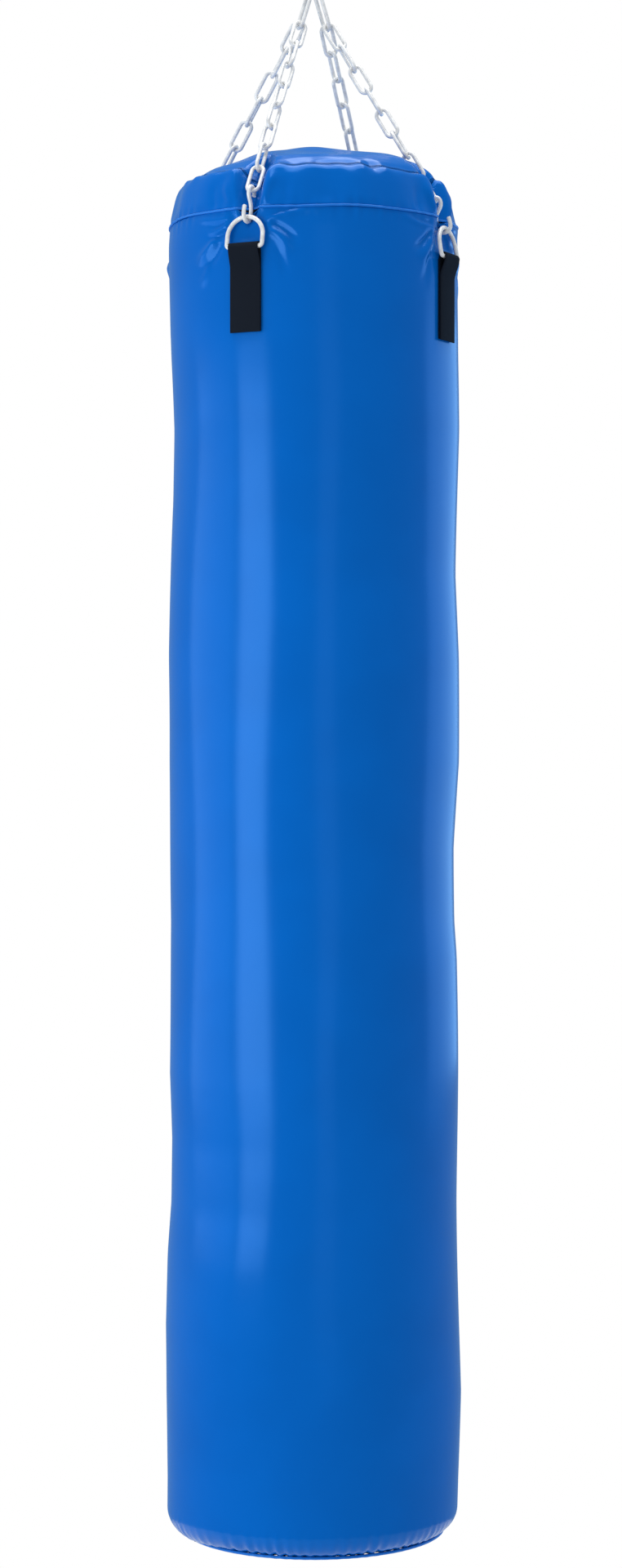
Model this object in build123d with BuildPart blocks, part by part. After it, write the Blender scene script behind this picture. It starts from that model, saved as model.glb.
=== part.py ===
from build123d import *
from math import asin, atan2, cos, degrees, hypot, radians, sin, sqrt
import os

# Hanging heavy punching bag with its four-leg chain, swivel and top zip.
# Millimetres. +Z is up, the origin is the centre of the hole in the hanging eye.
# X runs along the pair of top links, -Y is the front, and the four chain stations
# lie on the diagonals between X and Y.

# --- swivel ---
eye_hole_r = 12.0          # hanging eye, bore radius
eye_outer_r = 21.0
eye_thick = 12.0
cage_top = -26.0           # underside of the neck, top of the window
cage_floor = -58.0         # top of the lower boss
cage_bottom = -74.0
cage_half_w = 27.0
cage_wall = 8.0
cage_thick = 22.0
bolt_r = 6.0
bolt_clear = 0.08          # running clearance of the shank in the boss
race_r = 14.0
race_thick = 3.0
ball_r = 2.5
ball_count = 11
ball_circle_r = 9.8
nut_af = 19.0
nut_thick = 9.0
bolt_eye_r = 15.0          # centre-line radius of the eye on the bolt
bolt_eye_wire = 4.5        # its wire radius
bolt_eye_z = -96.0

# --- gather ring and top links ---
gap = 0.3                  # free play at every chain contact
ring_r = 23.0              # centre-line radius
ring_wire = 3.5
top_link_x = 6.0           # where the two top links cross the ring wire
top_link_half = 10.0       # centre-line half width
top_link_wire = 2.5

# --- chain legs ---
link_count = 8
link_wire = 2.4
link_half = 7.6            # centre-line half width, 20 mm over all
first_x = 17.5             # upper bow of the first link, from the ring's lowest wire
first_y = 3.2
first_drop = 35.5
last_r = 171.5             # lower bow of the last link
last_drop = 277.5
first_turn = 45.5          # degrees from tangential of the first link's width

# --- hooks, D-rings and webbing at each station ---
hook_wire = 2.6
ring_d_wire = 2.75
ring_d_half = 24.5         # centre-line half width
ring_d_corner = 3.9
ring_top_r = 185.5
ring_top_drop = 311.8
ring_bar_r = 192.0
ring_bar_drop = 349.6
web_thick = 2.5
web_half = 20.5
web_end_drop = 455.0

# --- the bag ---
crown_drop = 197.5         # top of the crown below the ring's lowest wire
bottom_drop = 1972.0
seam_drop = 300.0          # collar seam
body_r = 186.0
crown_sphere_r = 300.0
shoulder_r = 40.0
corner_r = 29.0
crown_edge = 46.0          # seam between crown and collar, below the crown top
bottom_seam_r = 166.0
vinyl = 2.0
between = 0.3              # space between layers and panels
foam = 12.0
welt_out = 2.2
welt_half = 2.0
dent_r = 16.0              # the fold in which each chain leg lies
dent_end_r = 208.0         # where the fold has come out of the wall
dent_end_drop = 360.0
dent_overlap = 4.0
dent_ball = 21.0           # hollow round the top of the hook, where the two runs meet
dent_ball_r = 176.5
dent_ball_drop = 274.0
hollow_r = 90.0            # shallow hollow behind each D-ring
hollow_depth = 6.5
hollow_drop = 322.0

# --- zip on the rear of the crown ---
zip_y = 34.0
zip_sweep = 32.0           # degrees of arc about the centre of the crown's sphere
tape_in = 3.0
tape_out = 14.0
tape_thick = 1.0
teeth_half = 2.7
teeth_high = 2.2
slider_at = 14.0           # degrees from the middle, zip closed
pull_lift = 3.9            # middle of the pull tab over the tops of the teeth

# --- derived heights ---
bolt_eye_low = bolt_eye_z - bolt_eye_r
ring_centre_z = bolt_eye_low + bolt_eye_wire + ring_wire + gap - ring_r
apex = ring_centre_z - ring_r
crown_z = apex - crown_drop
seam_z = apex - seam_drop
bottom_z = apex - bottom_drop
sphere_z = crown_z - crown_sphere_r
diagonal = 1.0 / sqrt(2.0)
stations = {
    "front_left": (-1, -1),
    "front_right": (1, -1),
    "rear_left": (-1, 1),
    "rear_right": (1, 1),
}


def radial_plane(sx, sy):
    """Upright plane through the Z axis on a diagonal: local x outward, local y up."""
    outward = Vector(sx * diagonal, sy * diagonal, 0)
    return Plane(origin=(0, 0, 0), x_dir=outward, z_dir=outward.cross(Vector(0, 0, 1)))


def at(plane, r, drop):
    """A point of a radial plane, by radius and by drop below the apex."""
    return plane.from_local_coords(Vector(r, apex - drop, 0))


def race_track(half_length, half_width, wire):
    """A closed chain link in the XY plane, long in X, as a swept round wire."""
    with BuildPart() as link:
        with BuildLine() as path:
            Line((-half_length, half_width), (half_length, half_width))
            ThreePointArc(
                (half_length, half_width),
                (half_length + half_width, 0),
                (half_length, -half_width),
            )
            Line((half_length, -half_width), (-half_length, -half_width))
            ThreePointArc(
                (-half_length, -half_width),
                (-half_length - half_width, 0),
                (-half_length, half_width),
            )
        with BuildSketch(Plane(origin=(-half_length, half_width, 0), z_dir=(1, 0, 0))):
            Circle(wire)
        sweep(path=path.wires()[0])
    return link.part


def dent_axes(sx, sy):
    """Start, direction and length of the two straight runs of one station's fold."""
    plane = radial_plane(sx, sy)
    start = Vector(sx * first_x, sy * first_y, apex - first_drop)
    corner = at(plane, last_r, last_drop)
    end = at(plane, dent_end_r, dent_end_drop)
    leg = (corner - start).normalized()
    low = (end - corner).normalized()
    return [
        (corner - leg * 110, leg, 110 + dent_overlap),
        (corner - low * dent_overlap, low, (end - corner).length + dent_overlap + 60),
    ]


def envelope(inset):
    """The solid inside a surface that lies inset below the outer face of the bag."""
    sphere = crown_sphere_r - inset
    shoulder = shoulder_r - inset
    side = body_r - inset
    corner = corner_r - inset
    floor = bottom_z + inset
    sc_r = body_r - shoulder_r
    sc_z = sphere_z + sqrt((crown_sphere_r - shoulder_r) ** 2 - sc_r**2)
    lean = atan2(sc_z - sphere_z, sc_r)
    half_lean = lean / 2
    crown_mid = (lean + radians(90)) / 2
    with BuildPart() as body:
        with BuildSketch(Plane.XZ):
            with BuildLine():
                top = (0, sphere_z + sphere)
                tangent = (sphere * cos(lean), sphere_z + sphere * sin(lean))
                mid = (sphere * cos(crown_mid), sphere_z + sphere * sin(crown_mid))
                ThreePointArc(top, mid, tangent)
                bend = (sc_r + shoulder * cos(half_lean), sc_z + shoulder * sin(half_lean))
                ThreePointArc(tangent, bend, (side, sc_z))
                Line((side, sc_z), (side, bottom_z + corner_r))
                low = (
                    body_r - corner_r + corner * cos(radians(45)),
                    bottom_z + corner_r - corner * sin(radians(45)),
                )
                ThreePointArc((side, bottom_z + corner_r), low, (body_r - corner_r, floor))
                Line((body_r - corner_r, floor), (0, floor))
                Line((0, floor), top)
            make_face()
        revolve(axis=Axis.Z)
        for sx, sy in stations.values():
            for origin, direction, length in dent_axes(sx, sy):
                with BuildSketch(Plane(origin=origin, z_dir=direction)):
                    Circle(dent_r + inset)
                extrude(amount=length, mode=Mode.SUBTRACT)
            plane = radial_plane(sx, sy)
            with Locations(at(plane, dent_ball_r, dent_ball_drop)):
                Sphere(dent_ball + inset, mode=Mode.SUBTRACT)
            hollow = at(plane, body_r + hollow_r - hollow_depth, hollow_drop)
            with Locations(hollow):
                Sphere(hollow_r + inset, mode=Mode.SUBTRACT)
    return body.part


def slab(z_low, z_high, r=400.0):
    """A plain disc between two heights, for cutting panels out of the shells."""
    with BuildPart() as disc:
        with BuildSketch(Plane.XY.offset(z_low)):
            Circle(r)
        extrude(amount=z_high - z_low)
    return disc.part


def save(part, name):
    """Name a piece and write its file."""
    part.label = name
    export_step(part, "parts/" + name + ".step")


os.makedirs("parts", exist_ok=True)

# ------------------------------------------------------------------ swivel
with BuildPart() as swivel_cage:
    # hanging eye, its hole along Y
    with BuildSketch(Plane.XZ.offset(-eye_thick / 2)):
        Circle(eye_outer_r)
    extrude(amount=eye_thick)
    fillet(swivel_cage.edges().filter_by(GeomType.CIRCLE), 4.0)
    # neck and cage frame
    with BuildSketch(Plane.XZ.offset(-cage_thick / 2)):
        with Locations((0, (cage_top + 8 + cage_bottom) / 2)):
            RectangleRounded(2 * cage_half_w, cage_top + 8 - cage_bottom, 9.0)
    extrude(amount=cage_thick)
    with BuildSketch(Plane.XZ.offset(-cage_thick / 2 - 1)):
        with Locations((0, (cage_top + cage_floor) / 2)):
            Rectangle(2 * (cage_half_w - cage_wall), cage_top - cage_floor)
    extrude(amount=cage_thick + 2, mode=Mode.SUBTRACT)
    with BuildSketch(Plane.XY.offset(cage_bottom)):
        Circle(16.0)
    extrude(amount=cage_floor - cage_bottom)
    # bore of the hanging eye, and the boss bore for the bolt
    with BuildSketch(Plane.XZ.offset(-eye_thick)):
        Circle(eye_hole_r)
    extrude(amount=2 * eye_thick, mode=Mode.SUBTRACT)
    with BuildSketch(Plane.XY.offset(cage_bottom - 1)):
        Circle(bolt_r + bolt_clear)
    extrude(amount=cage_floor - cage_bottom + 2, mode=Mode.SUBTRACT)
save(swivel_cage.part, "swivel_cage")

race_z = cage_floor + 0.05
with BuildPart() as swivel_lower_race:
    with BuildSketch(Plane.XY.offset(race_z)):
        Circle(race_r)
        Circle(bolt_r + bolt_clear, mode=Mode.SUBTRACT)
    extrude(amount=race_thick)
save(swivel_lower_race.part, "swivel_lower_race")

ball_z = race_z + race_thick + ball_r + 0.1
with BuildPart() as swivel_bearing_balls:
    with Locations(Plane.XY.offset(ball_z)):
        with PolarLocations(ball_circle_r, ball_count):
            Sphere(ball_r)
save(swivel_bearing_balls.part, "swivel_bearing_balls")

upper_race_z = ball_z + ball_r + 0.1
with BuildPart() as swivel_upper_race:
    with BuildSketch(Plane.XY.offset(upper_race_z)):
        Circle(race_r)
        Circle(bolt_r + 0.1, mode=Mode.SUBTRACT)
    extrude(amount=race_thick)
save(swivel_upper_race.part, "swivel_upper_race")

nut_z = upper_race_z + race_thick + 0.05
with BuildPart() as swivel_nut:
    with BuildSketch(Plane.XY.offset(nut_z)):
        RegularPolygon(nut_af / 2, 6, major_radius=False)
        Circle(bolt_r + 0.1, mode=Mode.SUBTRACT)
    extrude(amount=nut_thick)
    chamfer(swivel_nut.edges().filter_by(GeomType.LINE).filter_by(Plane.XY), 0.8)
save(swivel_nut.part, "swivel_nut")

shank_top = nut_z + nut_thick + 2.0
with BuildPart() as swivel_eye_bolt:
    with BuildSketch(Plane.XY.offset(bolt_eye_z + bolt_eye_r)):
        Circle(bolt_r)
    extrude(amount=shank_top - bolt_eye_z - bolt_eye_r)
    chamfer(swivel_eye_bolt.edges().sort_by(Axis.Z)[-1], 1.0)
    with Locations(Plane(origin=(0, 0, bolt_eye_z), z_dir=(1, 0, 0))):
        Torus(bolt_eye_r, bolt_eye_wire)
save(swivel_eye_bolt.part, "swivel_eye_bolt")

with BuildPart() as gather_ring:
    with Locations(Plane(origin=(0, 0, ring_centre_z), z_dir=(0, 1, 0))):
        Torus(ring_r, ring_wire)
save(gather_ring.part, "gather_ring")

# ------------------------------------------------------------------ top links
ring_dip = ring_r - sqrt(ring_r**2 - top_link_x**2)
for name, sx in (("top_link_left", -1), ("top_link_right", 1)):
    hang = Vector(sx * top_link_x, 0, apex + ring_dip)
    hold = Vector(sx * first_x, 0, apex - first_drop)
    along = (hold - hang).normalized()
    play = top_link_half - top_link_wire - link_wire - gap
    upper = hang + along * (top_link_half - ring_wire - top_link_wire - gap)
    lower = hold - along * sqrt(play**2 - first_y**2)
    middle = (upper + lower) * 0.5
    blank = race_track((lower - upper).length / 2, top_link_half, top_link_wire)
    with BuildPart() as top_link:
        with Locations(Plane(origin=middle, x_dir=along, z_dir=along.cross(Vector(0, 1, 0)))):
            add(blank)
    save(top_link.part, name)

# ------------------------------------------------------------------ chain legs
for name, (sx, sy) in stations.items():
    plane = radial_plane(sx, sy)
    start = Vector(sx * first_x, sy * first_y, apex - first_drop)
    end = at(plane, last_r, last_drop)
    run = end - start
    along = run.normalized()
    flat = hypot(run.X, run.Y)
    tangential = Vector(sx * abs(run.Y) / flat, -sy * abs(run.X) / flat, 0)
    outward = along.cross(tangential)
    if outward.Z < 0:
        outward = outward * -1
    step = link_wire * 2 + gap
    span = (run.length + (link_count - 1) * step) / link_count
    twist = (90 - first_turn) / (link_count - 2)
    blank = race_track(span / 2 - link_half, link_half, link_wire)
    with BuildPart() as leg:
        for k in range(link_count):
            angle = radians(first_turn + k * (90 + twist))
            width = tangential * cos(angle) + outward * sin(angle)
            centre = start + along * (span / 2 + k * (span - step))
            with Locations(Plane(origin=centre, x_dir=along, z_dir=along.cross(width))):
                add(blank)
    save(leg.part, "chain_leg_" + name)

# ------------------------------------------------------------------ S-hooks
hook_points = [
    (165.8, 283.1),
    (165.6, 276.4),
    (169.8, 272.6),
    (175.5, 273.0),
    (179.3, 277.8),
    (179.1, 284.5),
    (175.2, 292.0),
    (173.4, 301.0),
    (175.6, 310.3),
    (180.4, 316.6),
    (187.3, 317.1),
    (192.5, 312.6),
    (192.7, 305.2),
    (190.4, 298.5),
]
for name, (sx, sy) in stations.items():
    plane = radial_plane(sx, sy)
    points = [at(plane, r, drop) for r, drop in hook_points]
    with BuildPart() as hook:
        with BuildLine() as path:
            Spline(*points)
        with BuildSketch(Plane(origin=points[0], z_dir=path.line % 0)):
            Circle(hook_wire)
        sweep(path=path.wires()[0])
    save(hook.part, "s_hook_" + name)

# ------------------------------------------------------------------ D-rings
ring_high = hypot(ring_bar_r - ring_top_r, ring_bar_drop - ring_top_drop)
ring_side = ring_high - ring_d_half
flat_half = ring_d_half - ring_d_corner
bend = ring_d_corner * (1 - cos(radians(45)))
with BuildPart() as d_blank:
    with BuildLine() as path:
        Line((-flat_half, 0), (flat_half, 0))
        ThreePointArc((flat_half, 0), (ring_d_half - bend, bend), (ring_d_half, ring_d_corner))
        Line((ring_d_half, ring_d_corner), (ring_d_half, ring_side))
        ThreePointArc((ring_d_half, ring_side), (0, ring_high), (-ring_d_half, ring_side))
        Line((-ring_d_half, ring_side), (-ring_d_half, ring_d_corner))
        ThreePointArc((-ring_d_half, ring_d_corner), (-ring_d_half + bend, bend), (-flat_half, 0))
    with BuildSketch(Plane(origin=(-flat_half, 0, 0), z_dir=(1, 0, 0))):
        Circle(ring_d_wire)
    sweep(path=path.wires()[0])
for name, (sx, sy) in stations.items():
    plane = radial_plane(sx, sy)
    bar = at(plane, ring_bar_r, ring_bar_drop)
    up = (at(plane, ring_top_r, ring_top_drop) - bar).normalized()
    across = plane.z_dir
    with BuildPart() as d_ring:
        with Locations(Plane(origin=bar, x_dir=across, z_dir=across.cross(up))):
            add(d_blank.part)
    save(d_ring.part, "d_ring_" + name)

# ------------------------------------------------------------------ webbing straps
loop_in = ring_d_wire + 0.2
loop_out = loop_in + web_thick
bar_z = apex - ring_bar_drop
face_r = ring_bar_r - loop_in
end_z = apex - web_end_drop
for name, (sx, sy) in stations.items():
    plane = radial_plane(sx, sy)
    with BuildPart() as strap:
        with BuildSketch(plane.offset(-web_half)):
            # loop over the D-ring's bar
            with BuildLine():
                ThreePointArc(
                    (ring_bar_r - loop_out, bar_z),
                    (ring_bar_r, bar_z + loop_out),
                    (ring_bar_r + loop_out, bar_z),
                )
                Line((ring_bar_r + loop_out, bar_z), (ring_bar_r + loop_in, bar_z))
                ThreePointArc(
                    (ring_bar_r + loop_in, bar_z),
                    (ring_bar_r, bar_z + loop_in),
                    (ring_bar_r - loop_in, bar_z),
                )
                Line((ring_bar_r - loop_in, bar_z), (ring_bar_r - loop_out, bar_z))
            make_face()
            # rear tail, flat on the bag
            with BuildLine():
                Polyline(
                    (face_r - web_thick, bar_z),
                    (face_r, bar_z),
                    (face_r, end_z),
                    (face_r - web_thick, end_z),
                    close=True,
                )
            make_face()
            # front tail, coming in to the rear one
            with BuildLine():
                Polyline(
                    (ring_bar_r + loop_in, bar_z),
                    (ring_bar_r + loop_out, bar_z),
                    (face_r + web_thick, bar_z - 20),
                    (face_r + web_thick, end_z),
                    (face_r - 0.01, end_z),
                    (face_r - 0.01, bar_z - 20),
                    close=True,
                )
            make_face()
        extrude(amount=2 * web_half)
    save(strap.part, "strap_" + name)

# ------------------------------------------------------------------ cover
outer = envelope(0.0)
inner = envelope(vinyl)
edge_z = crown_z - crown_edge

with BuildPart() as crown_panel:
    add(outer)
    add(inner, mode=Mode.SUBTRACT)
    add(slab(edge_z + between / 2, crown_z + 5), mode=Mode.INTERSECT)
save(crown_panel.part, "crown_panel")

with BuildPart() as top_collar:
    add(outer)
    add(inner, mode=Mode.SUBTRACT)
    add(slab(seam_z + between / 2, edge_z - between / 2), mode=Mode.INTERSECT)
save(top_collar.part, "top_collar")

with BuildPart() as cover_wall:
    add(outer)
    add(inner, mode=Mode.SUBTRACT)
    add(slab(bottom_z - 5, seam_z - between / 2), mode=Mode.INTERSECT)
    add(slab(bottom_z - 5, bottom_z + 8, bottom_seam_r + between), mode=Mode.SUBTRACT)
save(cover_wall.part, "cover_wall")

with BuildPart() as bottom_panel:
    add(slab(bottom_z, bottom_z + vinyl, bottom_seam_r - corner_r * 0.32))
    add(outer)
    add(inner, mode=Mode.SUBTRACT)
    add(slab(bottom_z - 5, bottom_z + 8, bottom_seam_r), mode=Mode.INTERSECT)
save(bottom_panel.part, "bottom_panel")

proud = envelope(-welt_out)
with BuildPart() as collar_piping:
    add(proud)
    add(outer, mode=Mode.SUBTRACT)
    add(slab(seam_z - welt_half, seam_z + welt_half), mode=Mode.INTERSECT)
save(collar_piping.part, "collar_piping")

with BuildPart() as bottom_piping:
    with Locations((0, 0, bottom_z - 0.9)):
        Torus(bottom_seam_r, 2.4)
    add(outer, mode=Mode.SUBTRACT)
save(bottom_piping.part, "bottom_piping")

# ------------------------------------------------------------------ padding and filling
liner_low = bottom_z + corner_r
liner_high = seam_z - 6
liner_out = vinyl + between
core = envelope(liner_out + foam + between)
with BuildPart() as foam_liner:
    add(envelope(liner_out))
    add(envelope(liner_out + foam), mode=Mode.SUBTRACT)
    add(slab(liner_low, liner_high), mode=Mode.INTERSECT)
save(foam_liner.part, "foam_liner")

with BuildPart() as filling:
    add(envelope(liner_out))
    add(slab(liner_low - between, liner_high + between), mode=Mode.SUBTRACT)
    add(core)
save(filling.part, "filling")

# ------------------------------------------------------------------ zip in the crown
hinge_line = Axis((0, 0, sphere_z), (0, 1, 0))


def crown_r(y, lift):
    """Height over the sphere's centre of a point lifted off the crown at y."""
    return sphere_z + sqrt(crown_sphere_r**2 - y**2) + lift


def crown_strip(y_low, y_high, lift_low, lift_high):
    """A strip along the crown at constant y, bent to the crown's sphere."""
    with BuildPart() as strip:
        with BuildSketch(Plane.YZ):
            with BuildLine():
                Polyline(
                    (y_low, crown_r(y_low, lift_low)),
                    (y_high, crown_r(y_high, lift_low)),
                    (y_high, crown_r(y_high, lift_high)),
                    (y_low, crown_r(y_low, lift_high)),
                    close=True,
                )
            make_face()
        revolve(axis=hinge_line, revolution_arc=zip_sweep)
    return strip.part.rotate(hinge_line, -zip_sweep / 2)


tape_lift = 0.15
save(
    crown_strip(zip_y - tape_out, zip_y - tape_in, tape_lift, tape_lift + tape_thick),
    "zip_tape_front",
)
save(
    crown_strip(zip_y + tape_in, zip_y + tape_out, tape_lift, tape_lift + tape_thick),
    "zip_tape_rear",
)
save(
    crown_strip(zip_y - teeth_half, zip_y + teeth_half, tape_lift, tape_lift + teeth_high),
    "zip_teeth",
)

# slider: a plate over the teeth, two cheeks beside them and a bridge for the pull
teeth_z = crown_r(zip_y, tape_lift + teeth_high)
lean = degrees(asin(zip_y / crown_sphere_r))
slope = Plane(
    origin=(0, zip_y, teeth_z),
    x_dir=(1, 0, 0),
    z_dir=(0, sin(radians(lean)), cos(radians(lean))),
)
with BuildPart() as zip_slider:
    with Locations(slope):
        with Locations((0, 0, 1.7)):
            Box(13, 10, 1.6)
        with Locations((5.0, 0, 3.9)):
            Box(1.6, 4, 3.2)
        with Locations((-3.0, 0, 3.9)):
            Box(1.6, 4, 3.2)
        with Locations((1.0, 0, 6.0)):
            Box(9.6, 4, 1.4)
zip_slider_part = zip_slider.part.rotate(hinge_line, slider_at)
save(zip_slider_part, "zip_slider")

# pull tab: a flat tongue, its end bar under the bridge and its window round the post
with BuildPart() as zip_pull:
    with Locations(slope):
        with Locations((-11.4, 0, pull_lift)):
            Box(27.2, 9, 1.6)
        with Locations((-2.9, 0, pull_lift)):
            Box(6.2, 5.2, 3, mode=Mode.SUBTRACT)
        with Locations((-19.5, 0, pull_lift)):
            Box(6.0, 4.0, 3, mode=Mode.SUBTRACT)
zip_pull_part = zip_pull.part.rotate(hinge_line, slider_at)
save(zip_pull_part, "zip_pull")
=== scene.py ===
import math

import bpy
import numpy as np
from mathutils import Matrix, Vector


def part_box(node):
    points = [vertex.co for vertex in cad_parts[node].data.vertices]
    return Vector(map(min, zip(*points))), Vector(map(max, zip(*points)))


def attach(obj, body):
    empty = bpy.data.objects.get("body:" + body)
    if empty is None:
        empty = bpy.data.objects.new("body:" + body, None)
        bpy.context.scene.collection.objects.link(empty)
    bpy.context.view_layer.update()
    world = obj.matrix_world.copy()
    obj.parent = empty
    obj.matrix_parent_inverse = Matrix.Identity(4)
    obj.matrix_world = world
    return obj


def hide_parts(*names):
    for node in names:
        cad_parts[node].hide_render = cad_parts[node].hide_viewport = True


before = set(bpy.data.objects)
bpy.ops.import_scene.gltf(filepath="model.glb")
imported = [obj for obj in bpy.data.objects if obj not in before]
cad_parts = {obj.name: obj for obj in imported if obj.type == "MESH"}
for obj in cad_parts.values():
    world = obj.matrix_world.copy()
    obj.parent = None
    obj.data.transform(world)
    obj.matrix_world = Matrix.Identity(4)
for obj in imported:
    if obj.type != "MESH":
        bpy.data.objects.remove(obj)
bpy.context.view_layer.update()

MM = 0.001
# heights in millimetres in the shared frame, taken from the frame's own boxes
seam_low, seam_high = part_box("collar_piping")
teeth_low, teeth_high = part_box("zip_teeth")
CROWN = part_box("crown_panel")[1].z / MM
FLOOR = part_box("cover_wall")[0].z / MM
SEAM = (seam_low.z + seam_high.z) / 2 / MM
ZIP_Y = (teeth_low.y + teeth_high.y) / 2 / MM
# a "drop" is a depth below APEX, the lowest wire of the gather ring
CROWN_DROP = 197.5
SEAM_DROP = 300
APEX = CROWN + CROWN_DROP
R0 = 186.0
CROWN_BALL_R = 300.0
BALL_Z = CROWN - CROWN_BALL_R
BOTTOM_SEAM_R = 166.4
# the two ends of each chain leg, and where its fold has come out of the wall, as (radius, drop)
CHAIN_START = (18.0, 35.5)
CHAIN_END = (171.5, 277.5)
FOLD_END = (208.0, 360.0)
STATIONS = {"front_left": -45.0, "front_right": 45.0, "rear_right": 135.0, "rear_left": -135.0}
AROUND = 480

rng = np.random.RandomState(7)


# ---------------------------------------------------------------- materials
def new_material(name):
    mat = bpy.data.materials.new(name)
    mat.use_nodes = True
    tree = mat.node_tree
    return mat, tree, tree.nodes["Principled BSDF"]


def add_bump(tree, shader, height, strength, distance):
    bump = tree.nodes.new("ShaderNodeBump")
    bump.inputs["Strength"].default_value = strength
    bump.inputs["Distance"].default_value = distance
    tree.links.new(height, bump.inputs["Height"])
    tree.links.new(bump.outputs["Normal"], shader.inputs["Normal"])
    return bump


def coords(tree):
    return tree.nodes.new("ShaderNodeTexCoord").outputs["Object"]


def noise_tex(tree, scale, detail=2.0):
    tex = tree.nodes.new("ShaderNodeTexNoise")
    tex.inputs["Scale"].default_value = scale
    tex.inputs["Detail"].default_value = detail
    tree.links.new(coords(tree), tex.inputs["Vector"])
    return tex


def ramp_between(tree, factor, low, high, at_low=0.35, at_high=0.65):
    ramp = tree.nodes.new("ShaderNodeValToRGB")
    ramp.color_ramp.elements[0].position = at_low
    ramp.color_ramp.elements[1].position = at_high
    ramp.color_ramp.elements[0].color = low
    ramp.color_ramp.elements[1].color = high
    tree.links.new(factor, ramp.inputs["Fac"])
    return ramp.outputs["Color"]


def vinyl(name, colour, shade, roughness, tint=(1, 1, 1)):
    mat, tree, shader = new_material(name)
    wide = noise_tex(tree, 9.0)
    tree.links.new(
        ramp_between(tree, wide.outputs["Fac"], (*shade, 1), (*colour, 1)),
        shader.inputs["Base Color"],
    )
    shader.inputs["Roughness"].default_value = roughness
    shader.inputs["Specular IOR Level"].default_value = 0.62
    shader.inputs["Specular Tint"].default_value = (*tint, 1)
    grain = noise_tex(tree, 620.0, 3.0)
    add_bump(tree, shader, grain.outputs["Fac"], 0.2, 0.0003)
    return mat


def metal(name, colour, shade, roughness):
    mat, tree, shader = new_material(name)
    spangle = noise_tex(tree, 160.0, 3.0)
    tree.links.new(
        ramp_between(tree, spangle.outputs["Fac"], (*shade, 1), (*colour, 1)),
        shader.inputs["Base Color"],
    )
    shader.inputs["Metallic"].default_value = 0.14
    shader.inputs["Roughness"].default_value = roughness
    add_bump(tree, shader, spangle.outputs["Fac"], 0.08, 0.0002)
    return mat


def woven(name, colour, shade, scale, roughness=0.75):
    mat, tree, shader = new_material(name)
    across = tree.nodes.new("ShaderNodeTexWave")
    across.wave_type = "BANDS"
    across.bands_direction = "Z"
    across.inputs["Scale"].default_value = scale
    across.inputs["Distortion"].default_value = 0.6
    across.inputs["Detail"].default_value = 1.0
    tree.links.new(coords(tree), across.inputs["Vector"])
    tree.links.new(
        ramp_between(tree, across.outputs["Fac"], (*shade, 1), (*colour, 1), 0.1, 0.9),
        shader.inputs["Base Color"],
    )
    shader.inputs["Roughness"].default_value = roughness
    add_bump(tree, shader, across.outputs["Fac"], 0.5, 0.0004)
    return mat


GLOSS = (0.15, 0.45, 1.0)
blue = vinyl("blue_vinyl", (0.0, 0.111, 0.465), (0.0, 0.103, 0.435), 0.18, GLOSS)
piping_blue = vinyl("piping_vinyl", (0.02, 0.17, 0.60), (0.01, 0.14, 0.54), 0.3, GLOSS)
steel = metal("galvanised_steel", (0.83, 0.82, 0.79), (0.66, 0.65, 0.63), 0.36)
ground = metal("bearing_steel", (0.60, 0.61, 0.63), (0.52, 0.53, 0.55), 0.22)
nickel = metal("zip_nickel", (0.58, 0.57, 0.54), (0.48, 0.47, 0.45), 0.28)
webbing = woven("navy_webbing", (0.007, 0.011, 0.019), (0.004, 0.006, 0.011), 420.0, 0.85)
webbing.node_tree.nodes["Principled BSDF"].inputs["Specular IOR Level"].default_value = 0.12
tape_cloth = woven("zip_tape", (0.006, 0.022, 0.075), (0.004, 0.014, 0.05), 700.0)
coil_plastic = vinyl("zip_coil", (0.012, 0.03, 0.09), (0.008, 0.02, 0.06), 0.35)
foam = vinyl("liner_foam", (0.55, 0.55, 0.52), (0.48, 0.48, 0.45), 0.8)
shreds = vinyl("textile_fill", (0.34, 0.33, 0.32), (0.22, 0.21, 0.2), 0.9)


def give(obj, mat):
    obj.data.materials.clear()
    obj.data.materials.append(mat)


# ---------------------------------------------------------------- shape of the filled bag
def smooth_step(x, low, high):
    t = np.clip((x - low) / (high - low), 0, 1)
    return t * t * (3 - 2 * t)


def soft(x, width):
    return width * np.logaddexp(0, x / width)


def wrap(angle):
    return (angle + 180.0) % 360.0 - 180.0


# how much the filled wall stands in or out, by drop below the apex, at the left and the right
LEFT = np.array([
    [300, 0], [430, -0.8], [467, -1.8], [560, -6.0], [650, -6.0], [745, -3.3], [850, 0.3],
    [985, 0.3], [1100, -1.8], [1190, -3.3], [1385, -0.7], [1470, -3.9], [1550, -3.3],
    [1618, 1.6], [1710, 4.5], [1795, 3.8], [1905, 1.4], [1975, 1.4],
])
RIGHT = np.array([
    [300, 0], [430, 0.3], [467, 0.3], [560, 1.4], [650, -0.7], [745, -2.8], [850, 0.8],
    [985, 1.4], [1095, -4.3], [1190, -3.9], [1235, -1.4], [1385, -0.7], [1470, -0.7],
    [1550, -0.7], [1618, 0.3], [1710, 1.8], [1795, 3.5], [1905, 0.0], [1975, -1.5],
])
waves = []
for _ in range(14):
    waves.append((
        rng.randint(2, 7), rng.uniform(0, 6.28), rng.uniform(0.004, 0.02),
        rng.uniform(0, 6.28), rng.uniform(0.15, 0.45),
    ))
gathers = [(rng.randint(38, 110), rng.uniform(0, 6.28), rng.uniform(0.5, 1.0)) for _ in range(7)]
edge_gathers = [(rng.randint(9, 42), rng.uniform(0, 6.28), rng.uniform(0.5, 1.0)) for _ in range(7)]
floor_gathers = [(rng.randint(40, 95), rng.uniform(0, 6.28), rng.uniform(0.5, 1.0)) for _ in range(7)]


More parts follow.
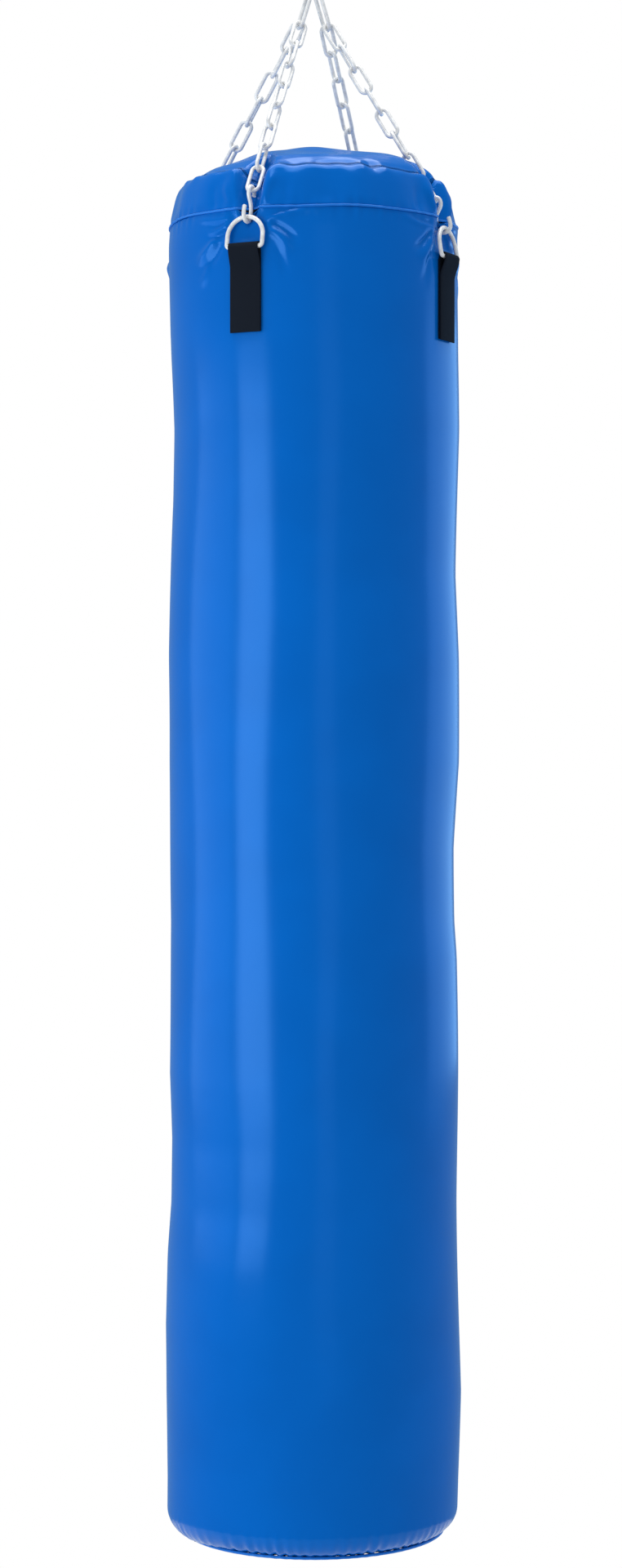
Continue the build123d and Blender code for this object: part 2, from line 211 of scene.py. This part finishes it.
def gather(angle, parts):
    turn = np.radians(angle)
    total = sum(a * np.sin(n * turn + p) for n, p, a in parts)
    swell = 0.55 + 0.45 * np.sin(3 * turn + 1.0) * np.sin(5 * turn + 2.0)
    return total / 2.4 * swell


# creases and ridges at each station: start and end in (across, drop), height, width
FOLDS = [
    (-27, 327, -62, 334, -1.6, 4.0),
    (-26, 318, -60, 326, 1.5, 5.0),
    (-30, 315, -58, 322, -1.2, 3.5),
    (-46, 334, -80, 362, 2.4, 6.5),
    (-36, 338, -60, 368, -1.4, 4.5),
    (-58, 366, -74, 392, 0.9, 6.0),
    (34, 320, 68, 346, -1.9, 4.5),
    (32, 328, 60, 358, 1.7, 6.0),
    (27, 316, 95, 304, 1.2, 4.0),
    (30, 312, 80, 303, -1.0, 3.5),
    (-26, 312, -90, 305, 1.1, 4.5),
    (40, 352, 52, 392, -0.8, 6.0),
    (-24, 292, -40, 262, 1.3, 5.0),
    (24, 294, 36, 258, 1.5, 5.0),
    (-52, 296, -58, 262, -0.9, 6.0),
    (56, 297, 50, 262, -1.0, 6.0),
]
FOLD_HEIGHT = 1.8
MIRROR = {"front_left": 1, "front_right": -1, "rear_right": 1, "rear_left": -1}
fold_sets = {}
for key in STATIONS:
    rows = []
    for x0, d0, x1, d1, high, wide in FOLDS:
        s = MIRROR[key]
        j = rng.uniform(-3, 3, 4) * (0 if key == "front_left" else 1)
        grow = 1.0 if key == "front_left" else rng.uniform(0.7, 1.25)
        height = FOLD_HEIGHT * high * grow
        rows.append((s * x0 + j[0], d0 + j[1], s * x1 + j[2], d1 + j[3], height, wide))
    fold_sets[key] = rows


def beyond(start, end, r, drop):
    """How far a point lies outside the line of a chain leg or hook, squarely from it."""
    lean = math.atan2(end[0] - start[0], end[1] - start[1])
    return (r - CHAIN_END[0]) * math.cos(lean) - (drop - CHAIN_END[1]) * math.sin(lean)


def station_push(angle, r, drop):
    """How far the chains, hooks and D-rings press the cover in."""
    total = np.zeros_like(r)
    ears = np.zeros_like(r)
    for centre in STATIONS.values():
        u = np.radians(wrap(angle - centre)) * np.maximum(r, 60)
        near = np.abs(wrap(angle - centre)) < 40
        above = beyond(CHAIN_START, CHAIN_END, r, drop)
        below = beyond(CHAIN_END, FOLD_END, r, drop)
        valley = 14.3 - np.sqrt((0.8 * u) ** 2 + 1) - 1.2 * soft(np.abs(u) - 13.5, 1.5)
        push = soft(np.maximum(above, below) + valley, 2.0)
        push = push * (1 - smooth_step(drop, 336, 350))
        hollow = soft(6.5 - u * u * 0.0082 - (drop - 322) ** 2 / 150.0, 0.8)
        hollow = hollow * smooth_step(drop, 296, 308) * (1 - smooth_step(drop, 336, 346))
        total = np.maximum(total, np.where(near, np.maximum(push, hollow), 0))
        ear = np.exp(-(((np.abs(u) - 27) / 10.0) ** 2)) * np.exp(-(((drop - 266) / 22.0) ** 2))
        ears = ears + np.where(near, 3.0 * ear, 0)
    return total, ears


def folds(angle, drop):
    """Height of the creases that run out from each D-ring."""
    total = np.zeros_like(drop)
    for key, centre in STATIONS.items():
        u = np.radians(wrap(angle - centre)) * R0
        sel = (np.abs(u) < 125) & (drop > 235) & (drop < 410)
        if not sel.any():
            continue
        us, ds = u[sel], drop[sel]
        add = np.zeros_like(us)
        for x0, d0, x1, d1, high, width in fold_sets[key]:
            vx, vd = x1 - x0, d1 - d0
            size = math.hypot(vx, vd)
            t = ((us - x0) * vx + (ds - d0) * vd) / size**2
            off = ((us - x0) * vd - (ds - d0) * vx) / size
            bend = 2.2 * np.sin(np.clip(t, 0, 1) * 3.1)
            along = smooth_step(t, -0.12, 0.18) * (1 - smooth_step(t, 0.55, 1.12))
            spread = width * (0.7 + 0.6 * np.clip(t, 0, 1))
            add += high * along * np.exp(-(((off - bend) / spread) ** 2))
        total[sel] += add
    return total


def strap_mask(angle, drop):
    """1 where a strap lies on the wall, so that it sits flat."""
    mask = np.zeros_like(drop)
    for centre in STATIONS.values():
        u = np.abs(np.radians(wrap(angle - centre)) * R0)
        here = (1 - smooth_step(u, 21, 34)) * smooth_step(drop, 338, 350)
        mask = np.maximum(mask, here * (1 - smooth_step(drop, 456, 474)))
    return mask


def surface(angle, r, z, nr, nz, inset=0.0, rough=1.0):
    """Points of the filled bag, in metres, for rows of (radius, height, outward normal)."""
    drop = APEX - z
    left = np.interp(drop, LEFT[:, 0], LEFT[:, 1])
    right = np.interp(drop, RIGHT[:, 0], RIGHT[:, 1])
    at_left = ((1 + np.cos(np.radians(angle + 107))) / 2) ** 2
    at_right = ((1 + np.cos(np.radians(angle - 73))) / 2) ** 2
    swell = at_left * left + at_right * right
    turn = np.radians(angle)
    for n, p, k, q, a in waves:
        swell = swell + a * np.sin(n * turn + p) * np.sin(k * drop + q)
    on_wall = smooth_step(drop, SEAM_DROP, SEAM_DROP + 45)
    flat = strap_mask(angle, drop)
    out = swell * on_wall * (1 - flat)
    in_seam = np.exp(-(((drop - SEAM_DROP) / 13.0) ** 2))
    at_floor = np.exp(-(((drop - 1962) / 16.0) ** 2))
    out = out + rough * 0.75 * gather(angle, gathers) * in_seam
    out = out + rough * 1.1 * gather(angle, floor_gathers) * at_floor
    # the collar is looser than the wall and hangs in shallow billows
    billow = smooth_step(drop, 238, 262) * (1 - smooth_step(drop, 286, 300))
    out = out + rough * billow * (1.2 * np.sin(9 * turn + 0.7) + 0.9 * np.sin(17 * turn + 2.1))
    # crown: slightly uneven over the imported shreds
    on_crown = 1 - smooth_step(drop, 238, 250)
    uneven = 1.3 * np.sin(r / 21.0 + 3 * turn) + 1.1 * np.sin(r / 13.0 - 5 * turn + 1.3)
    out = out + rough * on_crown * uneven * smooth_step(r, 20, 90)
    # the right of the crown stands a little higher than the left
    slope = smooth_step(r, 60, 130) * (1 - smooth_step(r, 150, 168)) * on_crown
    out = out + slope * (4.2 * at_right - 4.6 * at_left)
    # seam between crown and collar: drawn in, with an uneven edge
    at_edge = np.exp(-(((drop - 246.5) / 7.0) ** 2))
    out = out + rough * 2.0 * gather(angle, edge_gathers) * at_edge
    out = out - rough * 1.1 * np.exp(-(((drop - 245.6) / 1.6) ** 2))
    # flat bed for the zip
    x_here, y_here = r * np.sin(turn), -r * np.cos(turn)
    bed = (1 - smooth_step(np.abs(y_here - ZIP_Y), 15, 26)) * (1 - smooth_step(np.abs(x_here), 82, 98))
    ball = BALL_Z + np.sqrt(np.maximum(0, CROWN_BALL_R**2 - r**2)) - z
    out = np.where(drop < 240, out * (1 - bed) + bed * ball, out)
    out = out + rough * folds(angle, drop) * (1 - flat)
    push, ears = station_push(angle, r, drop)
    out = out + ears * rough - push - inset
    new_r = r + nr * out
    new_z = z + nz * out
    x = new_r * np.sin(turn)
    y = -new_r * np.cos(turn)
    return np.stack([x, y, new_z], axis=-1) * MM


# profile of the bag as (radius, height below the crown's top)
TOP = np.array([
    [0.0, 6.5], [25, 6.8], [45, 7.7], [67, 10.2], [83, 13.8], [95, 17.2], [110, 21.8],
    [120, 24.6], [135, 30.0], [146, 36.4], [152, 41.0], [158, 45.6], [164, 48.0], [169, 50.2],
    [172.6, 54.5], [175.0, 60.5], [177.2, 68], [179.8, 79], [182.4, 91], [184.3, 102.5],
    [185.3, 112], [185.9, 125], [186.0, 140],
])


def spline_rows(points, step):
    """Evenly spaced points of a smooth curve through a profile, with outward normals."""
    chord = np.concatenate([[0], np.cumsum(np.hypot(*np.diff(points, axis=0).T))])
    fine = np.linspace(0, chord[-1], 4000)
    kernel = np.hanning(61)
    kernel /= kernel.sum()
    curve = []
    for k in range(2):
        line = np.interp(fine, chord, points[:, k])
        padded = np.concatenate([2 * line[0] - line[30:0:-1], line, 2 * line[-1] - line[-2:-32:-1]])
        curve.append(np.convolve(padded, kernel, "valid"))
    curve = np.array(curve).T
    size = np.concatenate([[0], np.cumsum(np.hypot(*np.diff(curve, axis=0).T))])
    at = np.linspace(0, size[-1], int(round(size[-1] / step)) + 1)
    return np.stack([np.interp(at, size, curve[:, 0]), np.interp(at, size, curve[:, 1])], axis=1)


def with_normals(rows):
    """(r, z) rows going from the crown down: adds the outward normal of each."""
    d = np.gradient(rows, axis=0)
    size = np.hypot(d[:, 0], d[:, 1])
    size[size == 0] = 1
    return np.column_stack([rows, -d[:, 1] / size, d[:, 0] / size])


def grid_mesh(name, rows, inset=0.0, rough=1.0, caps=(False, False), around=AROUND):
    """A turned skin through rows, closed by a flat fan at the top or the bottom if asked."""
    angle = np.linspace(-180, 180, around, endpoint=False)
    a = np.broadcast_to(angle, (len(rows), around))
    parts = [np.broadcast_to(rows[:, k:k + 1], a.shape) for k in range(4)]
    pts = surface(a, *parts, inset=inset, rough=rough).reshape(-1, 3)
    n = len(rows)
    i = np.arange(n - 1)[:, None] * around
    j = np.arange(around)[None, :]
    k = (j + 1) % around
    quads = np.stack([i + j, i + around + j, i + around + k, i + k], axis=-1).reshape(-1, 4)
    faces = quads.tolist()
    if caps[0]:
        pts = np.vstack([pts, [[0, 0, pts[:around, 2].mean()]]])
        top = len(pts) - 1
        faces += [(top, q, (q + 1) % around) for q in range(around)]
    if caps[1]:
        low = (n - 1) * around
        pts = np.vstack([pts, [[0, 0, pts[low:low + around, 2].mean()]]])
        end = len(pts) - 1
        faces += [(end, low + (q + 1) % around, low + q) for q in range(around)]
    return make_object(name, pts, faces)


def make_object(name, points, faces, smooth=True):
    mesh = bpy.data.meshes.new(name)
    mesh.from_pydata([tuple(p) for p in np.asarray(points, float)], [], [tuple(f) for f in faces])
    mesh.validate()
    mesh.update()
    if smooth:
        mesh.polygons.foreach_set("use_smooth", [True] * len(mesh.polygons))
    obj = bpy.data.objects.new(name, mesh)
    bpy.context.scene.collection.objects.link(obj)
    return obj


def belongs(obj, mat, slot, *nodes, body="bag"):
    give(obj, mat)
    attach(obj, body)
    if nodes:
        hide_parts(*nodes)
    return obj


top_rows = spline_rows(TOP, 2.2)
top_rows[:, 1] = CROWN - top_rows[:, 1]
edge_z = CROWN - 48.2
corner = 29.0
arc = np.radians(np.linspace(0, 90, 22))
round_rows = np.stack(
    [R0 - corner + corner * np.cos(arc), FLOOR + corner - corner * np.sin(arc)], axis=1
)
upper = top_rows[top_rows[:, 1] < SEAM]
fine = np.arange(upper[-1, 1] - 2.5, APEX - 420, -2.5)
coarse = np.arange(APEX - 425, FLOOR + 90, -12.0)
lower = np.arange(FLOOR + 84, corner + FLOOR + 1, -4.0)
straight = np.concatenate([fine, coarse, lower])
wall_rows = np.vstack([
    [[upper[0, 0] - 3.0, SEAM - 0.2]],
    upper,
    np.stack([np.full(len(straight), R0), straight], axis=1),
    round_rows[round_rows[:, 0] > 166.0],
])
top_skin = with_normals(top_rows)


def under(row, radius, height):
    """A hidden last row, tucked behind the neighbouring panel."""
    return np.array([row[0] + radius, row[1] + height, row[2], row[3]])


wall = grid_mesh("cover_wall_skin", with_normals(wall_rows), caps=(True, True))
belongs(wall, blue, "blue_vinyl", "cover_wall")

collar_rows = top_skin[(top_rows[:, 1] >= SEAM) & (top_rows[:, 1] <= edge_z + 2.3)]
collar_rows = np.vstack([collar_rows, [under(collar_rows[-1], -0.6, -1.5)]])
collar = grid_mesh("top_collar_skin", collar_rows)
belongs(collar, blue, "blue_vinyl", "top_collar")

crown_rows = top_skin[(top_rows[:, 1] > edge_z)]
crown_rows = np.vstack([crown_rows, [under(crown_rows[-1], -1.5, -1.5)]])
crown = grid_mesh("crown_skin", crown_rows)
belongs(crown, blue, "blue_vinyl", "crown_panel")

floor_rows = np.array(
    [[BOTTOM_SEAM_R, FLOOR + 0.8], [164, FLOOR + 0.2]] + [[r, FLOOR] for r in (150, 120, 80, 40, 2)]
)
floor_panel = grid_mesh("bottom_panel_skin", with_normals(floor_rows), caps=(False, True), around=240)
belongs(floor_panel, blue, "blue_vinyl", "bottom_panel")


WELT_STEPS = 720
WELT_SIDES = 10


def tube_mesh(name, rings):
    """A closed hoop of cord; rings holds, for each side of the cord, its points round the bag."""
    pts = np.stack(rings, axis=1).reshape(-1, 3) * MM
    faces = []
    for i in range(WELT_STEPS):
        j = (i + 1) % WELT_STEPS
        for k in range(WELT_SIDES):
            m = (k + 1) % WELT_SIDES
            faces.append((
                i * WELT_SIDES + k, j * WELT_SIDES + k, j * WELT_SIDES + m, i * WELT_SIDES + m,
            ))
    return make_object(name, pts, faces)


def welt(name, r, z, radius, proud, wobble, node):
    """A thin round seam cord round the bag, following the cover."""
    angle = np.linspace(-180, 180, WELT_STEPS, endpoint=False)
    turn = np.radians(angle)
    zz = z + wobble * (np.sin(4 * turn + 0.6) + 0.7 * np.sin(9 * turn + 2.0))
    one = np.ones_like(angle)
    centre = surface(angle, r * one, zz, one, 0 * one) * 1000
    size = np.hypot(centre[:, 0], centre[:, 1])
    rings = []
    for k in range(WELT_SIDES):
        t = 2 * math.pi * k / WELT_SIDES
        rr = size + proud + radius * math.cos(t)
        rings.append(np.stack([
            centre[:, 0] / size * rr, centre[:, 1] / size * rr, centre[:, 2] + radius * math.sin(t),
        ], axis=1))
    obj = tube_mesh(name, rings)
    return belongs(obj, piping_blue, "blue_vinyl", node)


welt("collar_seam_welt", R0 - 1.3, SEAM, 1.5, 0.3, 0.8, "collar_piping")


def bottom_welt():
    """The cord under the rounded corner, puckered with the bottom seam."""
    angle = np.linspace(-180, 180, WELT_STEPS, endpoint=False)
    turn = np.radians(angle)
    puck = gather(angle, floor_gathers)
    rings = []
    for k in range(WELT_SIDES):
        t = 2 * math.pi * k / WELT_SIDES
        rr = BOTTOM_SEAM_R + 0.5 * puck + 2.2 * math.cos(t)
        z = FLOOR - 0.4 + 0.3 * puck + 2.0 * math.sin(t)
        rings.append(np.stack([rr * np.sin(turn), -rr * np.cos(turn), z], axis=1))
    obj = tube_mesh("bottom_seam_welt", rings)
    return belongs(obj, piping_blue, "blue_vinyl", "bottom_piping")


bottom_welt()

# ---------------------------------------------------------------- inside: foam liner and filling
INSIDE_STEPS = 160
FILLING_INSET = 17.0
LINER_OUTER_INSET = 4.5
LINER_INNER_INSET = 15.5

head_rows = top_rows[top_rows[:, 1] > SEAM + 4]
body_rows = wall_rows[wall_rows[:, 1] < SEAM - 1]
core_rows = with_normals(np.vstack([head_rows[8:][::3], body_rows[::4]]))
fill_obj = grid_mesh(
    "textile_filling", core_rows, inset=FILLING_INSET, rough=0.0, caps=(True, True),
    around=INSIDE_STEPS,
)
belongs(fill_obj, shreds, "textile_fill", "filling")


def foam_tube():
    """The foam liner: an open tube with an outer skin, an inner skin and two rims."""
    around = INSIDE_STEPS
    rows = with_normals(wall_rows[(wall_rows[:, 1] < SEAM - 8) & (wall_rows[:, 1] > FLOOR + 30)][::3])
    shape = (len(rows), around)
    a = np.broadcast_to(np.linspace(-180, 180, around, endpoint=False), shape)
    cols = [np.broadcast_to(rows[:, k:k + 1], shape) for k in range(4)]
    skin_out = surface(a, *cols, inset=LINER_OUTER_INSET, rough=0.0)
    skin_in = surface(a, *cols, inset=LINER_INNER_INSET, rough=0.0)
    n = len(rows)
    pts = np.concatenate([skin_out.reshape(-1, 3), skin_in.reshape(-1, 3)])
    faces = []
    for i in range(n - 1):
        for j in range(around):
            k = (j + 1) % around
            o = i * around
            faces.append((o + j, o + around + j, o + around + k, o + k))
            q = n * around + o
            faces.append((q + k, q + around + k, q + around + j, q + j))
    for j in range(around):
        k = (j + 1) % around
        faces.append((j, k, n * around + k, n * around + j))
        e = (n - 1) * around
        faces.append((e + k, e + j, n * around + e + j, n * around + e + k))
    return belongs(make_object("foam_liner_tube", pts, faces), foam, "foam", "foam_liner")


foam_tube()


# ---------------------------------------------------------------- straps
def strap(key, centre):
    """Webbing folded round the D-ring's bar, both tails lying on the wall."""
    bar_r, bar_drop, turn_r = 192.0, 349.6, 4.25
    path = []
    for d in np.arange(454.0, 352.0, -3.0):
        path.append((187.6, d, 1.0))
    for t in np.radians(np.linspace(200, -20, 17)):
        path.append((bar_r + turn_r * math.cos(t), bar_drop - turn_r * math.sin(t), 0.0))
    for d, r in ((354, 195.6), (358, 194.6), (362, 193.3), (366, 192.0), (370, 190.9), (374, 190.2)):
        path.append((r, d, float(smooth_step(np.array(d), 352, 374))))
    for d in np.arange(378.0, 456.0, 3.0):
        path.append((190.1, d, 1.0))
    path.append((190.0, 455.0, 1.0))
    path = np.array(path)
    step = np.gradient(path[:, :2], axis=0)
    size = np.hypot(step[:, 0], step[:, 1])
    nr, nd = step[:, 1] / size, -step[:, 0] / size
    half, thick, cols = 20.4, 1.15, 15
    base = math.radians(centre)
    out = np.array([math.sin(base), -math.cos(base)])
    side = np.array([math.cos(base), math.sin(base)])
    layers = []
    for sign in (1, -1):
        dd = path[:, 1] + sign * thick * nd
        rows = []
        for k in range(cols):
            t = -half + 2 * half * k / (cols - 1)
            edge = 1 - 0.35 * max(0, abs(t) / half - 0.9) * 10
            r_edge = path[:, 0] + sign * thick * edge * nr
            bend = t / R0
            flat_x = r_edge * out[0] + t * side[0]
            flat_y = r_edge * out[1] + t * side[1]
            lay_x = r_edge * math.sin(base + bend)
            lay_y = -r_edge * math.cos(base + bend)
            w = path[:, 2]
            rows.append(np.stack([
                flat_x * (1 - w) + lay_x * w, flat_y * (1 - w) + lay_y * w, APEX - dd,
            ], axis=1))
        layers.append(np.stack(rows, axis=1))
    n = len(path)
    pts = np.concatenate([layers[0].reshape(-1, 3), layers[1].reshape(-1, 3)]) * MM
    half_n = n * cols
    faces = []
    for i in range(n - 1):
        for k in range(cols - 1):
            p = i * cols + k
            faces.append((p, p + 1, p + cols + 1, p + cols))
            q = half_n + p
            faces.append((q, q + cols, q + cols + 1, q + 1))
        for k, flip in ((0, False), (cols - 1, True)):
            p = i * cols + k
            quad = (p, p + cols, half_n + p + cols, half_n + p)
            faces.append(quad[::-1] if flip else quad)
    for i, flip in ((0, True), (n - 1, False)):
        for k in range(cols - 1):
            p = i * cols + k
            quad = (p, p + 1, half_n + p + 1, half_n + p)
            faces.append(quad if flip else quad[::-1])
    obj = make_object("webbing_" + key, pts, faces)
    obj.data.set_sharp_from_angle(angle=0.9)
    return belongs(obj, webbing, "webbing", "strap_" + key)


for key, centre in STATIONS.items():
    strap(key, centre)

# ---------------------------------------------------------------- zip on the crown
TAPE_HALF = 81
TAPE_LIFT = 0.15
TAPE_THICK = 1.0
TAPE_INNER = 2.2
TAPE_OUTER = 14
TOOTH_PITCH = 1.66
TOOTH_PAIRS = 96


def tape(name, y0, y1, node):
    """One side of the zip's tape, lying on the crown."""
    xs = np.linspace(-TAPE_HALF, TAPE_HALF, 109)
    ys = np.linspace(y0, y1, 5)
    gx, gy = np.meshgrid(xs, ys, indexing="ij")
    gz = BALL_Z + np.sqrt(CROWN_BALL_R**2 - gx**2 - gy**2) + TAPE_LIFT
    top = np.stack([gx, gy, gz + TAPE_THICK], axis=-1).reshape(-1, 3)
    low = np.stack([gx, gy, gz], axis=-1).reshape(-1, 3)
    m = len(ys)
    pts = np.concatenate([top, low]) * MM
    faces = []
    half_n = len(top)
    for i in range(len(xs) - 1):
        for k in range(m - 1):
            p = i * m + k
            faces.append((p, p + m, p + m + 1, p + 1))
            faces.append((half_n + p, half_n + p + 1, half_n + p + m + 1, half_n + p + m))
        p = i * m
        faces.append((p, half_n + p, half_n + p + m, p + m))
        p = i * m + m - 1
        faces.append((p, p + m, half_n + p + m, half_n + p))
    for i, flip in ((0, False), (len(xs) - 1, True)):
        for k in range(m - 1):
            p = i * m + k
            quad = (p, p + 1, half_n + p + 1, half_n + p)
            faces.append(quad[::-1] if flip else quad)
    obj = make_object(name, pts, faces, smooth=False)
    return belongs(obj, tape_cloth, "zip_tape", node)


tape("zip_tape_front_cloth", ZIP_Y - TAPE_OUTER, ZIP_Y - TAPE_INNER, "zip_tape_front")
tape("zip_tape_rear_cloth", ZIP_Y + TAPE_INNER, ZIP_Y + TAPE_OUTER, "zip_tape_rear")


def zip_coil():
    """Two rows of small teeth that mesh along the middle of the zip."""
    pts, faces = [], []
    for i in range(TOOTH_PAIRS):
        for row, side in ((0, -1), (1, 1)):
            x = -79.5 + (i + 0.5 * row) * TOOTH_PITCH
            y = ZIP_Y + side * 0.75
            z = BALL_Z + math.sqrt(CROWN_BALL_R**2 - x * x - y * y) + 1.25
            b = len(pts)
            for dz in (-1.0, 0.95):
                for dx, dy in ((-0.55, -1.7), (0.55, -1.7), (0.55, 1.7), (-0.55, 1.7)):
                    pts.append((x + dx, y + dy, z + dz))
            faces += [(b + 3, b + 2, b + 1, b), (b + 4, b + 5, b + 6, b + 7)]
            for k in range(4):
                m = (k + 1) % 4
                faces.append((b + k, b + m, b + 4 + m, b + 4 + k))
    coil = make_object("zip_coil_teeth", np.array(pts) * MM, faces, smooth=False)
    return belongs(coil, coil_plastic, "zip_coil", "zip_teeth")


zip_coil()

# ---------------------------------------------------------------- metal nodes keep their CAD form
metals = {
    "swivel_lower_race": ground,
    "swivel_upper_race": ground,
    "swivel_bearing_balls": ground,
    "swivel_nut": ground,
    "zip_slider": nickel,
    "zip_pull": nickel,
}
STEEL_NODES = (
    "swivel", "gather", "top_link", "chain_leg", "s_hook", "d_ring", "zip_slider", "zip_pull",
)
for name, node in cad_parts.items():
    if name.startswith(STEEL_NODES):
        give(node, metals.get(name, steel))
        node.data.polygons.foreach_set("use_smooth", [True] * len(node.data.polygons))
        node.data.set_sharp_from_angle(angle=0.7)


# ---------------------------------------------------------------- camera, light and floor
CAM_AZ = math.radians(-18.5)
CAM_Z = APEX * MM - 0.983
DIST = 4.1
IMAGE_HEIGHT = 1920
PIXELS_PER_MM = 0.95
cam_data = bpy.data.cameras.new("camera")
cam_data.sensor_fit = "VERTICAL"
cam_data.sensor_height = 36.0
cam_data.lens = PIXELS_PER_MM * DIST * 1000 / IMAGE_HEIGHT * cam_data.sensor_height
cam_data.shift_y = -30.0 / IMAGE_HEIGHT
cam_data.shift_x = -3.0 / IMAGE_HEIGHT
camera = bpy.data.objects.new("camera", cam_data)
bpy.context.scene.collection.objects.link(camera)
camera.location = (DIST * math.sin(CAM_AZ), -DIST * math.cos(CAM_AZ), CAM_Z)
camera.rotation_euler = (math.radians(90), 0, CAM_AZ)
bpy.context.scene.camera = camera


def panel(name, azimuth, distance, z, width, height, power, colour=(1, 1, 1)):
    """A softbox facing the bag, placed by its direction from the camera's side."""
    data = bpy.data.lights.new(name, "AREA")
    data.shape = "RECTANGLE"
    data.size = width
    data.size_y = height
    data.energy = power
    data.color = colour
    lamp = bpy.data.objects.new(name, data)
    bpy.context.scene.collection.objects.link(lamp)
    a = CAM_AZ + math.radians(azimuth)
    lamp.location = (distance * math.sin(a), -distance * math.cos(a), z)
    lamp.rotation_euler = (math.radians(90), 0, a)
    return lamp


panel("softbox_left", -47, 1.9, -1.19, 0.85, 1.37, 14)
panel("softbox_side", -86, 1.9, -1.19, 1.45, 1.37, 9, (0.45, 0.72, 1.0))
panel("softbox_right", 126, 1.9, -1.0, 2.0, 1.43, 12, (0.25, 0.58, 1.0))
panel("front_fill", 10, 4.6, -1.1, 1.2, 2.6, 5)
top = panel("top_light", 0, 0.0, 1.2, 2.0, 2.0, 40)
top.location = (0, 0, 1.3)
top.rotation_euler = (0, 0, 0)

world = bpy.data.worlds.new("studio")
bpy.context.scene.world = world
world.use_nodes = True
tree = world.node_tree
tree.nodes.clear()


def background(colour, strength):
    node = tree.nodes.new("ShaderNodeBackground")
    node.inputs["Color"].default_value = (*colour, 1)
    node.inputs["Strength"].default_value = strength
    return node


seen = background((1, 1, 1), 1.0)
fill = background((0.95, 0.97, 1), 0.75)
# what the gloss reflects is tinted blue and dimmer than what lights the bag
dark = background((0.34, 0.62, 1), 0.5)
rays = tree.nodes.new("ShaderNodeLightPath")
gloss = tree.nodes.new("ShaderNodeMixShader")
mix = tree.nodes.new("ShaderNodeMixShader")
out = tree.nodes.new("ShaderNodeOutputWorld")
tree.links.new(rays.outputs["Is Glossy Ray"], gloss.inputs["Fac"])
tree.links.new(fill.outputs[0], gloss.inputs[1])
tree.links.new(dark.outputs[0], gloss.inputs[2])
tree.links.new(rays.outputs["Is Camera Ray"], mix.inputs["Fac"])
tree.links.new(gloss.outputs[0], mix.inputs[1])
tree.links.new(seen.outputs[0], mix.inputs[2])
tree.links.new(mix.outputs[0], out.inputs["Surface"])
bpy.context.scene.view_settings.view_transform = "Standard"

# pale floor under the bag
FLOOR_R = 1.6
FLOOR_Z = -2.66
FLOOR_STEPS = 96
floor_mat, _, floor_shader = new_material("pale_floor")
floor_shader.inputs["Base Color"].default_value = (0.86, 0.86, 0.86, 1)
floor_shader.inputs["Roughness"].default_value = 0.7
turns = [2 * math.pi * k / FLOOR_STEPS for k in range(FLOOR_STEPS)]
rim = [(FLOOR_R * math.cos(t), FLOOR_R * math.sin(t), FLOOR_Z) for t in turns]
ground_disc = make_object("floor", np.array(rim), [tuple(range(FLOOR_STEPS))], smooth=False)
give(ground_disc, floor_mat)
